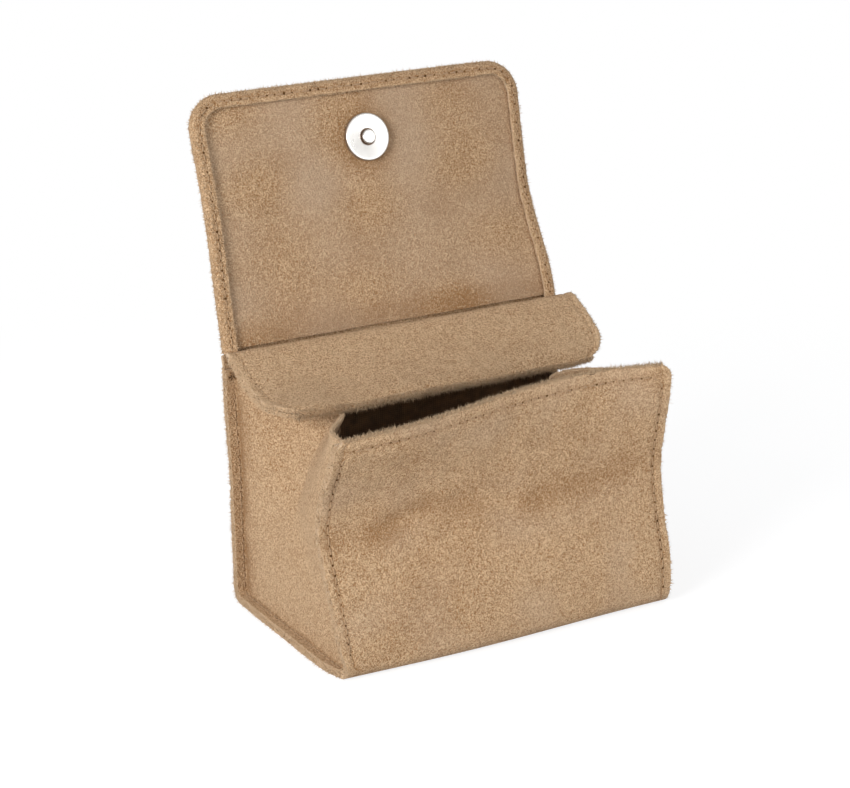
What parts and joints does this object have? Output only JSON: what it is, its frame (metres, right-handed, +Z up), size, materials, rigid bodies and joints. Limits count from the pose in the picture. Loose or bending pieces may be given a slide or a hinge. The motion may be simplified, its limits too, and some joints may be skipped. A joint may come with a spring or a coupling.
{
  "type": "tobacco pouch",
  "caption": "Suede pouch standing open, with sunken gussets, a tongue over its mouth and a hinged flap that closes on a round magnetic snap.",
  "frame": {"origin": "underside of the base, at its middle", "axes": "+Z up, +X to the right seen from the front, +Y from the front to the back"},
  "size_m": [0.143, 0.1099, 0.18],
  "materials": {
    "suede": "napped, matt",
    "lining_cloth": "plain weave, matt",
    "nickel": "plated, lightly worn",
    "magnet": "plated, hidden"
  },
  "bodies": {
    "pouch": {"body_wrap": "suede", "left_gusset": "suede", "right_gusset": "suede", "tongue": "suede", "lining": "lining_cloth", "keeper_magnet": "magnet"},
    "flap": {"flap_outer": "suede", "flap_lining": "suede", "snap_cap": "nickel", "snap_stud": "nickel", "snap_prong_plate": "nickel", "snap_washer": "nickel"}
  },
  "joints": [
    {"name": "flap_hinge", "type": "hinge", "parent": "pouch", "child": "flap", "pos_m": [0, 0.04125, 0.0928], "axis": [1, 0, 0], "range_deg": [-110, 104]}
  ]
}
